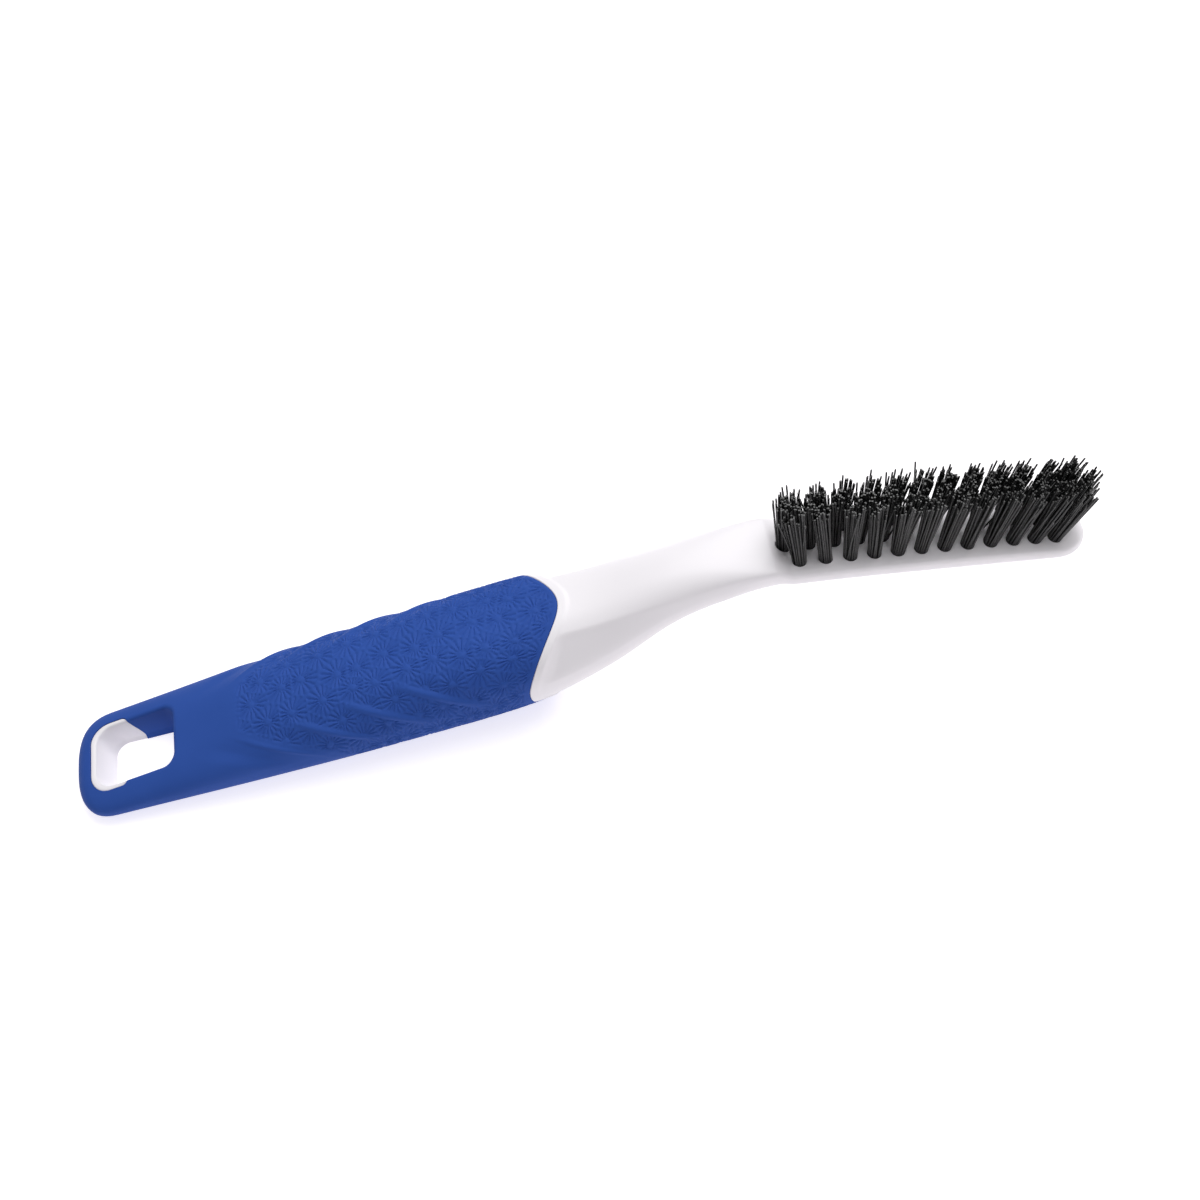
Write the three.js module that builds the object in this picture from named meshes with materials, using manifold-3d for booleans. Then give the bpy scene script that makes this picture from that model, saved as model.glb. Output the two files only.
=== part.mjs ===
// A grout brush with a moulded core, a soft overmoulded grip and three rows of stapled nylon tufts.
// Millimetres, +Z up. The brush lies on its back with the bristles up and the head towards +X.
import * as THREE from "three";
import { mergeVertices } from "three/addons/utils/BufferGeometryUtils.js";
import Module from "manifold-3d";

const wasm = await Module();
wasm.setup();
const { lerp, smoothstep, degToRad } = THREE.MathUtils;

// Outline of the handle: x runs from the tail to the toe, and each curve has pairs of x and value.
const TAIL = -0.65;
const TOE = 220;
const HALF_WIDTH = [
  [0, 12.4], [55, 13.9], [92, 13.6], [107, 13.1],
  [121, 10.3], [136, 7.8], [164, 7.5], [220, 7.5],
];
const CROWN = [
  [0, 5.7], [30, 10.9], [55, 15.7], [80, 19.5], [105, 21.4],
  [120, 21.9], [136, 24.3], [150, 24.1], [166, 20.6],
];
const BACK = [
  [0, -0.4], [88, -0.4], [105, 1.6], [120, 5.5], [136, 12.8],
  [150, 15.2], [164, 13.3], [198, 4.5], [220, -0.6],
];
const BRISTLE_FACE = [[150, 22.6], [164, 19.5], [198, 10.5], [220, 3.8]];
const TAIL_CORNER = 9;
const TAIL_CORNER_POWER = 2.7;
const TAIL_EDGE = 3.4;
const TAIL_EDGE_POWER = 2.2;
const TOE_CORNER = 7.5;
const TOE_EDGE = 3;
const HEEL = 157.8;
const HEEL_STEP_HALF = 1.9;
const HEAD_BLEND = 22;
const FACE_EDGE = 1.7;
const CROWN_POWER = 2.5;
const FACE_POWER = 4.5;
const GRIP_BACK_POWER = 2.7;
const HEAD_BACK_POWER = 2.4;
const RING_POINTS = 28;
const TANG_POINTS = 16;

// Grip: a soft shell over the tang of the core, ending in a wave in front of the hand.
const FIT_GAP = 0.3;
const SHELL = [[0, 1.3], [28, 1.6], [50, 2.2], [120, 2.2]];
const GRIP_END = 106.2;
const GRIP_END_WAVE = 4.7;
const WAVE_CENTRE = 11;
const WAVE_SIDES = 64;
const WAVE_RADIUS = 60;
const WAVE_TIP = 0.5;
const SCALLOPS = 4;
const SCALLOP_PITCH = 11.8;
const SCALLOP_START = 37.2;
const SCALLOP_SLANT = 22.5;
const SCALLOP_DEPTH = 0.42;
const SCALLOP_TOP = 72;
const SCALLOP_BOTTOM = -10;
const SCALLOP_FADE = 0.35;
const FINGERS_FROM = 37;
const FINGERS_TO = 101;
const FINGER_STEP = 1.9;

// Hanging hole: the tail half is lined by the core, the head half by the grip.
const HOLE_TAIL = 3.35;
const HOLE_HEAD = 23.6;
const HOLE_HALF_WIDTH = 8.5;
const HOLE_STEP = 1.2;
const HOLE_TAIL_RADIUS = 4.5;
const HOLE_HEAD_RADIUS = 3;
const HOLE_BOTTOM = -2;
const HOLE_TOP = 14;
const LINER_SPLIT_MIDDLE = 12.1;
const LINER_SPLIT_LEAN = 2;
const LINER_SINK = 0.15;
const LINER_LIP = 0.9;
const LINER_TAIL_DRAFT = 2.9;
const LINER_SIDE_DRAFT = 1.3;
const LINER_CORNER = 3;
const COLLAR = 1.6;

// Tufts: two outer rows side by side and a middle row set back by half a pitch.
const TUFT_PITCH = 4.71;
const TUFT_FIRST = 162;
const TUFT_MIDDLE_SHIFT = 0.2;
const TUFT_END_SHIFT = -0.75;
const OUTER_TUFTS = 12;
const ROW_SPACING = 3.9;
const ROW_SPLAY = -1;
const TUFT_LENGTH = 15;
const TUFT_HOLE = 3;
const TUFT_HOLE_DEPTH = 3.9;
const TUFT_HOLE_MOUTH = 2.5;
const TUFT_HOLE_SIDES = 7;
const HEEL_LEAN = -11;
const TOE_LEAN = 11.5;
const STRAND_RADIUS = 0.21;
const STRAND_RINGS = [[1, 0], [3, 0.6], [5, 1.08]];
const TIP_SPREAD = 1.8;
const TIP_UNEVENNESS = 1.5;

// The strip of head material that each row of strands is rooted in, and the anchor wires below it.
const ROOT_DEPTH = 1.1;
const ROOT_THICKNESS = 0.9;
const ROOT_HALF_WIDTH = 1.3;
const ROOT_END = 1.7;
const ANCHOR_THICKNESS = 0.45;
const ANCHOR_WIDTH = 2.2;
const ANCHOR_HEIGHT = 0.9;
const ANCHOR_DEPTH = 2.7;

// A smooth curve of value against x through a few pairs, flat beyond its ends.
function curveThrough(pairs) {
  const slope = (i) => {
    const before = pairs[Math.max(i - 1, 0)];
    const after = pairs[Math.min(i + 1, pairs.length - 1)];
    return (after[1] - before[1]) / (after[0] - before[0]);
  };
  return (x) => {
    if (x <= pairs[0][0]) return pairs[0][1];
    if (x >= pairs.at(-1)[0]) return pairs.at(-1)[1];
    const i = pairs.findIndex((pair) => pair[0] > x) - 1;
    const [[x0, y0], [x1, y1]] = [pairs[i], pairs[i + 1]];
    const t = (x - x0) / (x1 - x0);
    const span = x1 - x0;
    const fromStart = y0 * (1 + 2 * t) * (1 - t) ** 2 + slope(i) * span * t * (1 - t) ** 2;
    const fromEnd = y1 * t * t * (3 - 2 * t) - slope(i + 1) * span * t * t * (1 - t);
    return fromStart + fromEnd;
  };
}

const halfWidthAt = curveThrough(HALF_WIDTH);
const crownAt = curveThrough(CROWN);
const backAt = curveThrough(BACK);
const faceAt = curveThrough(BRISTLE_FACE);
const shellAt = curveThrough(SHELL);

// How far an end has filled out to its full size, along a rounded corner.
function filledOut(distance, corner, power) {
  const t = THREE.MathUtils.clamp(distance / corner, 0, 1);
  return (1 - (1 - t) ** power) ** (1 / power);
}

// One point of a squared-off ellipse.
function squircle(angle, power) {
  const along = Math.cos(angle);
  const up = Math.sin(angle);
  const bend = (v) => Math.sign(v) * Math.abs(v) ** (2 / power);
  return [bend(along), bend(up)];
}

// Depth of the slanted finger scallops on the sides of the grip: hollows between raised crests.
function scallopDepth(x, angle) {
  const degrees = THREE.MathUtils.radToDeg(Math.asin(Math.sin(angle)));
  const down = (SCALLOP_TOP - degrees) / (SCALLOP_TOP - SCALLOP_BOTTOM);
  const turns = (x - SCALLOP_START - SCALLOP_SLANT * down) / SCALLOP_PITCH;
  const crest = THREE.MathUtils.clamp(Math.round(turns), 0, SCALLOPS - 1);
  const hollow = smoothstep(Math.abs(turns - crest), 0, 0.5);
  const side = smoothstep(down, 0, SCALLOP_FADE) * (1 - smoothstep(down, 1 - SCALLOP_FADE, 1));
  const ends = smoothstep(turns, -1, -0.5) * (1 - smoothstep(turns, SCALLOPS - 1, SCALLOPS - 0.5));
  return SCALLOP_DEPTH * hollow * side * ends;
}

// A ring of the handle at x, drawn in by an inset; the back has a flat land at z = 0.
function handleRing(x, { inset = 0, scalloped = false, points = RING_POINTS } = {}) {
  const head = smoothstep(x, HEEL - HEAD_BLEND, HEEL);
  const fromTail = x - TAIL - inset;
  const tailPlan = filledOut(fromTail, TAIL_CORNER, TAIL_CORNER_POWER);
  const tailEdge = filledOut(fromTail, TAIL_EDGE, TAIL_EDGE_POWER);
  const plan = tailPlan * filledOut(TOE - x, TOE_CORNER, 2);
  const edge = tailEdge * filledOut(TOE - x, TOE_EDGE, 2);
  const step = smoothstep(x, HEEL - HEEL_STEP_HALF, HEEL + HEEL_STEP_HALF);
  const top = lerp(crownAt(x), faceAt(x), step) - inset;
  const bottom = backAt(x) + inset;
  const widest = lerp((top + bottom) / 2, top - FACE_EDGE, head);
  const topPower = lerp(CROWN_POWER, FACE_POWER, head);
  const bottomPower = lerp(GRIP_BACK_POWER, HEAD_BACK_POWER, head);
  const middle = (top + bottom) / 2;
  const ring = [];
  for (let i = 0; i < points; i++) {
    const angle = (2 * Math.PI * i) / points;
    const above = Math.sin(angle) >= 0;
    const [across, up] = squircle(angle, above ? topPower : bottomPower);
    const reach = above ? top - widest : widest - bottom;
    const dent = scalloped ? scallopDepth(x, angle) : 0;
    const y = plan * across * (halfWidthAt(x) - inset - dent);
    const z = middle + edge * (widest + up * (reach - dent) - middle);
    ring.push(new THREE.Vector3(x, y, Math.max(z, inset)));
  }
  return ring;
}

// Skin over a row of rings of equal point counts, closed by a fan at each end.
function loft(rings) {
  const count = rings[0].length;
  const centre = (ring) => ring.reduce((sum, p) => sum.add(p), new THREE.Vector3()).divideScalar(count);
  const points = [...rings.flat(), centre(rings[0]), centre(rings.at(-1))];
  const first = rings.length * count;
  const faces = [];
  for (let j = 0; j < count; j++) {
    const k = (j + 1) % count;
    for (let i = 0; i < rings.length - 1; i++) {
      const here = i * count;
      const next = here + count;
      faces.push(here + j, here + k, next + k, here + j, next + k, next + j);
    }
    faces.push(first, k, j, first + 1, first - count + j, first - count + k);
  }
  const geometry = new THREE.BufferGeometry().setFromPoints(points);
  return geometry.setIndex(faces);
}

// Joins and cuts need closed bodies with shared vertices.
function solid(geometry) {
  const bare = new THREE.BufferGeometry().setIndex(geometry.index);
  bare.setAttribute("position", geometry.getAttribute("position"));
  const merged = mergeVertices(bare, 1e-4);
  const vertProperties = new Float32Array(merged.getAttribute("position").array);
  const triVerts = new Uint32Array(merged.index.array);
  return new wasm.Manifold(new wasm.Mesh({ numProp: 3, vertProperties, triVerts }));
}

function joined(solids) {
  return wasm.Manifold.union(solids);
}

function geometryOf(body) {
  const { vertProperties, triVerts } = body.getMesh();
  const geometry = new THREE.BufferGeometry();
  geometry.setAttribute("position", new THREE.BufferAttribute(vertProperties, 3));
  geometry.setIndex(new THREE.BufferAttribute(triVerts, 1));
  geometry.computeVertexNormals();
  return geometry;
}

// Evenly spaced values from start to end, with the step as near to the one asked for as fits.
function spaced(start, end, step) {
  const count = Math.round((end - start) / step);
  return Array.from({ length: count + 1 }, (_, i) => lerp(start, end, i / count));
}

// Values that crowd towards the tip of a rounded end.
function crowded(tip, base, count) {
  const turn = (i) => (0.5 * Math.PI * (i + 0.35)) / count;
  return Array.from({ length: count }, (_, i) => lerp(tip, base, 1 - Math.cos(turn(i))));
}

// Everything behind the waved end of the grip, moved along the handle by an offset.
function behindGripEnd(offset) {
  const ring = (radius, xAt) =>
    Array.from({ length: WAVE_SIDES }, (_, i) => {
      const angle = (2 * Math.PI * i) / WAVE_SIDES;
      const z = WAVE_CENTRE + radius * Math.sin(angle);
      return new THREE.Vector3(xAt(angle), radius * Math.cos(angle), z);
    });
  const behind = () => -TOE;
  const wave = (angle) => GRIP_END - GRIP_END_WAVE * Math.cos(2 * angle) + offset;
  return solid(loft([ring(WAVE_RADIUS, behind), ring(WAVE_RADIUS, wave), ring(WAVE_TIP, wave)]));
}

// An upright prism between two outlines, which may differ for a draft.
function upright(lower, upper, from, to) {
  const ring = (outline, z) => outline.getPoints(6).map((p) => new THREE.Vector3(p.x, p.y, z));
  const rings = [ring(lower, from), ring(upper, to)].map((points) => {
    const closes = points.at(-1).distanceTo(points[0]) < 1e-6;
    return closes ? points.slice(0, -1) : points;
  });
  return solid(loft(rings));
}

// The U of the tail half of the hole, open to the head at x = end.
function tailOutline(side, tail, radius, end) {
  const outline = new THREE.Shape();
  outline.moveTo(end, -side);
  outline.lineTo(end, side);
  outline.absarc(tail + radius, side - radius, radius, Math.PI / 2, Math.PI);
  outline.absarc(tail + radius, radius - side, radius, Math.PI, 1.5 * Math.PI);
  outline.closePath();
  return outline;
}

// The head half of the hole, grown by a wall thickness and starting at x = start.
function headOutline(growth, start) {
  const side = HOLE_HALF_WIDTH - HOLE_STEP + growth;
  const head = HOLE_HEAD + growth;
  const radius = HOLE_HEAD_RADIUS;
  const outline = new THREE.Shape();
  outline.moveTo(start, side);
  outline.lineTo(start, -side);
  outline.absarc(head - radius, radius - side, radius, -Math.PI / 2, 0);
  outline.absarc(head - radius, side - radius, radius, 0, Math.PI / 2);
  outline.closePath();
  return outline;
}

// The split between the lined halves leans back towards the tail at the top.
function headHalf(growth, offset) {
  const lower = headOutline(growth, LINER_SPLIT_MIDDLE + LINER_SPLIT_LEAN + offset);
  const upper = headOutline(growth, LINER_SPLIT_MIDDLE - LINER_SPLIT_LEAN + offset);
  return upright(lower, upper, HOLE_BOTTOM, HOLE_TOP);
}

// The pocket in the grip for the tail half, drawn in by an inset.
function tailPocket(inset) {
  const end = LINER_SPLIT_MIDDLE + 2 * LINER_SPLIT_LEAN;
  const outline = tailOutline(HOLE_HALF_WIDTH - inset, HOLE_TAIL + inset, HOLE_TAIL_RADIUS - inset, end);
  return upright(outline, outline, HOLE_BOTTOM, HOLE_TOP);
}

// The drafted hole through the lining of the tail half.
function liningHole() {
  const end = LINER_SPLIT_MIDDLE + 2 * LINER_SPLIT_LEAN;
  const topSide = HOLE_HALF_WIDTH - LINER_LIP;
  const topTail = HOLE_TAIL + LINER_LIP;
  const upper = tailOutline(topSide, topTail, LINER_CORNER, end);
  const lower = tailOutline(topSide - LINER_SIDE_DRAFT, topTail + LINER_TAIL_DRAFT, LINER_CORNER, end);
  return upright(lower, upper, HOLE_BOTTOM, HOLE_TOP);
}

function tang(clearance) {
  const tip = TAIL + SHELL[0][1] - clearance;
  const stations = [...crowded(tip, TAIL_CORNER, 5), ...spaced(TAIL_CORNER + 1, GRIP_END + 8, 9)];
  const ring = (x) => handleRing(x, { inset: shellAt(x) - clearance, points: TANG_POINTS });
  return solid(loft(stations.map(ring)));
}

// The lining stands up through the grip, nearly to its surface.
function lining() {
  const end = LINER_SPLIT_MIDDLE + 2 * LINER_SPLIT_LEAN;
  const stations = [...crowded(TAIL + LINER_SINK, TAIL_CORNER, 6), ...spaced(TAIL_CORNER + 1, end + 1, 3)];
  const ring = (x) => handleRing(x, { inset: LINER_SINK });
  return solid(loft(stations.map(ring))).intersect(tailPocket(FIT_GAP));
}

// The tufts' places on the bristle face, with the frame of each drilled hole.
function tuftPlaces(row) {
  const middle = row === 0;
  const count = middle ? OUTER_TUFTS + 1 : OUTER_TUFTS;
  return Array.from({ length: count }, (_, i) => {
    const order = middle ? i - 0.5 : i;
    const along = order / (OUTER_TUFTS - 1);
    const shift = lerp(TUFT_MIDDLE_SHIFT, TUFT_END_SHIFT, Math.min((2 * along - 1) ** 4, 1));
    const x = TUFT_FIRST + TUFT_PITCH * order + shift;
    const lean = lerp(HEEL_LEAN, TOE_LEAN, along);
    const fall = Math.atan2(faceAt(x - 1) - faceAt(x + 1), 2);
    const place = new THREE.Group();
    place.position.set(x, row * ROW_SPACING, faceAt(x));
    place.rotation.set(-degToRad(ROW_SPLAY * row), fall + degToRad(lean), 0, "YXZ");
    place.updateMatrix();
    return place;
  });
}

// A bar with flat ends along the local +Z of a place.
function bar(place, from, to, radius, sides) {
  const corners = Array.from({ length: sides }, (_, i) => {
    const angle = (2 * Math.PI * i) / sides;
    return new THREE.Vector2(radius * Math.cos(angle), radius * Math.sin(angle));
  });
  const options = { depth: from.distanceTo(to), bevelEnabled: false };
  const geometry = new THREE.ExtrudeGeometry(new THREE.Shape(corners), options);
  const along = to.clone().sub(from).normalize();
  geometry.applyQuaternion(new THREE.Quaternion().setFromUnitVectors(new THREE.Vector3(0, 0, 1), along));
  geometry.translate(...from);
  return solid(geometry.applyMatrix4(place.matrix));
}

function drilledHole(place) {
  const bottom = new THREE.Vector3(0, 0, -TUFT_HOLE_DEPTH);
  const mouth = new THREE.Vector3(0, 0, TUFT_HOLE_MOUTH);
  return bar(place, bottom, mouth, TUFT_HOLE / 2, TUFT_HOLE_SIDES);
}

// A strip under the bristle face along one row, grown by a clearance to make its channel.
function rootStrip(row, clearance) {
  const places = tuftPlaces(row);
  const start = places[0].position.x - ROOT_END - clearance;
  const end = places.at(-1).position.x + ROOT_END + clearance;
  const side = ROOT_HALF_WIDTH + clearance;
  const rings = spaced(start, end, 12).map((x) => {
    const upper = faceAt(x) - ROOT_DEPTH + clearance;
    const lower = upper - ROOT_THICKNESS - 2 * clearance;
    const y = row * ROW_SPACING;
    const corner = (dy, z) => new THREE.Vector3(x, y + dy, z);
    return [corner(side, lower), corner(side, upper), corner(-side, upper), corner(-side, lower)];
  });
  return solid(loft(rings));
}

// A repeatable scatter between 0 and 1.
function scatter(n) {
  const v = Math.sin(n * 12.9898) * 43758.5453;
  return v - Math.floor(v);
}

// The height along a strand at which it is halfway down the root strip.
function footHeight(place, at) {
  let height = 0;
  for (let i = 0; i < 8; i++) {
    const foot = at(height).applyMatrix4(place.matrix);
    height -= foot.z - faceAt(foot.x) + ROOT_DEPTH + ROOT_THICKNESS / 2;
  }
  return height;
}

// The strands of a tuft spread from the drilled hole to the tips and never cross.
function strands(place, seed) {
  const bars = [];
  STRAND_RINGS.forEach(([count, radius], ring) => {
    for (let i = 0; i < count; i++) {
      const angle = (2 * Math.PI * (i + 0.5 * (ring % 2))) / count;
      const reach = TUFT_LENGTH - TIP_UNEVENNESS * scatter(seed + 7 * i + 31 * ring);
      const at = (height) => {
        const r = radius * (1 + ((TIP_SPREAD - 1) * height) / TUFT_LENGTH);
        return new THREE.Vector3(r * Math.cos(angle), r * Math.sin(angle), height);
      };
      bars.push(bar(place, at(footHeight(place, at)), at(reach), STRAND_RADIUS, 3));
    }
  });
  return bars;
}

function gripSleeve() {
  const sleeve = [...crowded(TAIL, TAIL_CORNER, 7), ...spaced(TAIL_CORNER, FINGERS_FROM - 3, 6)];
  const fingers = spaced(FINGERS_FROM, FINGERS_TO, FINGER_STEP);
  const front = spaced(FINGERS_TO + 3, GRIP_END + GRIP_END_WAVE + 2, 3);
  const ring = (x) => handleRing(x, { scalloped: true });
  const outer = solid(loft([...sleeve, ...fingers, ...front].map(ring)));
  const collar = headHalf(COLLAR, FIT_GAP);
  return outer
    .intersect(behindGripEnd(-FIT_GAP / 2))
    .subtract(tang(FIT_GAP).subtract(collar))
    .subtract(tailPocket(0).subtract(collar))
    .subtract(headHalf(0, -1));
}

function handleCore() {
  const neck = spaced(GRIP_END - GRIP_END_WAVE - 6, HEEL - HEEL_STEP_HALF, 4.2);
  const heel = spaced(HEEL - HEEL_STEP_HALF / 2, HEEL + HEEL_STEP_HALF, HEEL_STEP_HALF / 2);
  const head = spaced(HEEL + HEEL_STEP_HALF + 1.5, TOE - TOE_CORNER, 5);
  const toe = crowded(TOE, TOE - TOE_CORNER, 7).reverse();
  const outer = solid(loft([...neck, ...heel, ...head, ...toe].map((x) => handleRing(x))));
  const tangWithHole = tang(0)
    .add(lining())
    .subtract(liningHole())
    .subtract(headHalf(COLLAR + FIT_GAP, 0));
  const channels = [-1, 0, 1].map((row) => rootStrip(row, FIT_GAP));
  const holes = [-1, 0, 1].flatMap((row) => tuftPlaces(row).map(drilledHole));
  return outer
    .subtract(behindGripEnd(FIT_GAP / 2))
    .add(tangWithHole)
    .subtract(joined([...channels, ...holes]));
}

function bristleRow(row) {
  const bars = tuftPlaces(row).flatMap((place, i) => strands(place, 100 * row + 13 * i + 500));
  return joined([rootStrip(row, 0), ...bars]);
}

const whitePlastic = { color: 0xf0f0ee, roughness: 0.25, metalness: 0 };
const blueRubber = { color: 0x3156a6, roughness: 0.5, metalness: 0 };
const blackNylon = { color: 0x19191b, roughness: 0.45, metalness: 0 };
const bareSteel = { color: 0xb5b6b8, roughness: 0.35, metalness: 1 };

function piece(name, geometry, look) {
  const mesh = new THREE.Mesh(geometry, new THREE.MeshStandardMaterial(look));
  mesh.name = name;
  return mesh;
}

const brush = new THREE.Group();
brush.add(piece("handle_core", geometryOf(handleCore()), whitePlastic));
brush.add(piece("grip_sleeve", geometryOf(gripSleeve()), blueRubber));

const rows = { near: -1, middle: 0, far: 1 };
let anchorNumber = 0;
for (const [name, row] of Object.entries(rows)) {
  brush.add(piece("bristles_" + name, geometryOf(bristleRow(row)), blackNylon));
  for (const place of tuftPlaces(row)) {
    anchorNumber += 1;
    const wire = new THREE.BoxGeometry(ANCHOR_THICKNESS, ANCHOR_WIDTH, ANCHOR_HEIGHT);
    const anchor = piece("tuft_anchor_" + String(anchorNumber).padStart(2, "0"), wire, bareSteel);
    anchor.position.z = -ANCHOR_DEPTH - ANCHOR_HEIGHT / 2;
    place.add(anchor);
    brush.add(place);
  }
}

// The origin is below the middle of the whole brush, on the surface that it lies on.
const box = new THREE.Box3().setFromObject(brush);
brush.position.x = -(box.min.x + box.max.x) / 2;

const part = new THREE.Group();
part.add(brush);

export default part;
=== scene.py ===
import math
import bpy
import numpy as np
from mathutils import Matrix, Vector


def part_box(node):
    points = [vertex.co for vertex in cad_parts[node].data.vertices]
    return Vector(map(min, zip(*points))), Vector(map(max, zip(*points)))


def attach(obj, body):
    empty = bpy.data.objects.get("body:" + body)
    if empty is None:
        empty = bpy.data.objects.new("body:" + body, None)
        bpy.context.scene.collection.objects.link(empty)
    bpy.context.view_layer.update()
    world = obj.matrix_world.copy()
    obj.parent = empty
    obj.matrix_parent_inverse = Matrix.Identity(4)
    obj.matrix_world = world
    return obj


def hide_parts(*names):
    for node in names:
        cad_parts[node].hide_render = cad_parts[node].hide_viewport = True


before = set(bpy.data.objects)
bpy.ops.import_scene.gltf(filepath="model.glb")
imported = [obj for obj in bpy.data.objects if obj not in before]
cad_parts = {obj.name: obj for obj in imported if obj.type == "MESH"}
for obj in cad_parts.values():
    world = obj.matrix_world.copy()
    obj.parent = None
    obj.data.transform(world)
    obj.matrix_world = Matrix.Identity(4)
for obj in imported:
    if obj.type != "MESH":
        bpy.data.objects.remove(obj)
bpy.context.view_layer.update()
mm = 0.001
gripTail = -0.62  # the brush is drawn in millimetres, and the grip's tail end is here
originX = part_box("grip_sleeve")[0].x - gripTail * mm
print("frame loaded:", len(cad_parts), "nodes")


def inFrame(points):  # millimetres along the brush to metres in the frame
    return np.asarray(points, float) * mm + np.array([originX, 0.0, 0.0])


# camera

photoView = {
    "target": (110, 0, 10),
    "distance": 376.8,
    "azimuth": 10.0,
    "elevation": 55.78,
    "roll": -22.4,
    "lens": 53.98,
    "sensor": 36,
    "shift": (0.0325, 0.0275),
}


def makeCamera(view):
    azimuth, elevation, roll = (math.radians(view[k]) for k in ("azimuth", "elevation", "roll"))
    back = Vector((math.sin(azimuth) * math.cos(elevation),
                   -math.cos(azimuth) * math.cos(elevation),
                   math.sin(elevation)))
    right = back.cross(Vector((0, 0, -1))).normalized()
    up = back.cross(right)
    across = right * math.cos(roll) + up * math.sin(roll)
    upright = up * math.cos(roll) - right * math.sin(roll)
    data = bpy.data.cameras.new("photoCamera")
    data.lens = view["lens"]
    data.sensor_width = view["sensor"]
    data.shift_x, data.shift_y = view["shift"]
    data.clip_start = 0.01
    camera = bpy.data.objects.new("photoCamera", data)
    camera.matrix_world = Matrix((across, upright, back)).transposed().to_4x4()
    camera.location = Vector(inFrame(view["target"])) + back * view["distance"] * mm
    bpy.context.scene.collection.objects.link(camera)
    bpy.context.scene.camera = camera


makeCamera(photoView)
print("camera set")


# curves and sections of the handle, in millimetres from the tail

handleForm = {
    "length": 220,
    "halfWidth": [(0, 12.4), (55, 13.9), (92, 13.6), (107, 13.1),
                  (121, 10.3), (136, 7.8), (164, 7.5), (220, 7.5)],
    "crown": [(0, 5.7), (30, 10.9), (55, 15.7), (80, 19.5), (105, 21.4),
              (120, 21.9), (136, 24.3), (150, 24.1), (166, 20.6)],
    "back": [(0, -0.4), (88, -0.4), (105, 1.6), (120, 5.5), (136, 12.8),
             (150, 15.2), (164, 13.3), (198, 4.5), (220, -0.6)],
    "bristleFace": [(150, 22.6), (164, 19.5), (198, 10.5), (220, 3.8)],
    "shell": [(0, 1.3), (28, 1.6), (50, 2.2), (120, 2.2)],  # thickness of the grip over the tang
    "tailEnd": -0.65,
    "tailCorner": 9,
    "tailCornerPower": 2.7,
    "tailEdge": 3.4,
    "tailEdgePower": 2.2,
    "toeCorner": 7.5,
    "toeEdge": 3,
    "toePower": 2,
    "heel": 157.8,
    "heelStep": 1.9,
    "headBlend": 22,
    "sideBlend": 14,
    "faceEdge": 1.7,
    "topPowers": (2.5, 4.5),  # how square a section is, at the grip and at the head
    "backPowers": (2.7, 2.4),
    "backTop": 2.0,  # the grip's back is below this height
    "gripEnd": 106.5,
    "gripEndWave": 5.2,
    "waveCentre": 9.4,
    "waveFlat": 7,  # degrees below the centre that a sharp turn forwards is counted from
    "waveTurn": 4,  # it is this many times as fast as the plain wave
    "waveStop": 34,  # and ends at these degrees
    "fitGap": 0.3,  # hidden, between the grip and the tang
    "seam": 0.04,  # seen, where the two materials meet
}


def smoothstep(v, low, high):
    t = np.clip((v - low) / (high - low), 0, 1)
    return t * t * (3 - 2 * t)


def blendTo(a, b, t):
    return a + (b - a) * t


def curveThrough(pairs, soften=2.5, step=0.25):
    xs, ys = (np.array(v, float) for v in zip(*pairs))
    last = len(xs) - 1
    order = np.arange(last + 1)
    before, after = np.maximum(order - 1, 0), np.minimum(order + 1, last)
    slopes = (ys[after] - ys[before]) / (xs[after] - xs[before])
    fine = np.arange(xs[0], xs[-1] + step, step)
    i = np.clip(np.searchsorted(xs, fine, side="right") - 1, 0, last - 1)
    span = xs[i + 1] - xs[i]
    t = np.clip((fine - xs[i]) / span, 0, 1)
    values = (ys[i] * (1 + 2 * t) * (1 - t) ** 2 + slopes[i] * span * t * (1 - t) ** 2
              + ys[i + 1] * t * t * (3 - 2 * t) - slopes[i + 1] * span * t * t * (1 - t))
    reach = int(3 * soften / step)  # a short running average keeps reflections free of kinks
    kernel = np.exp(-0.5 * (np.arange(-reach, reach + 1) * step / soften) ** 2)
    startRun = values[0] + slopes[0] * (np.arange(-reach, 0) * step)
    endRun = values[-1] + slopes[-1] * (np.arange(1, reach + 1) * step)
    smooth = np.convolve(np.concatenate([startRun, values, endRun]), kernel / kernel.sum(), "valid")
    return lambda x: np.interp(x, fine, smooth)


halfWidthAt = curveThrough(handleForm["halfWidth"])
crownAt = curveThrough(handleForm["crown"])
backAt = curveThrough(handleForm["back"])
faceAt = curveThrough(handleForm["bristleFace"])
shellAt = curveThrough(handleForm["shell"])


def filledOut(distance, corner, power):
    t = np.clip(distance / corner, 0, 1)
    return (1 - (1 - t) ** power) ** (1 / power)


def squared(v, power):
    return np.sign(v) * np.abs(v) ** (2 / power)


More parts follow.
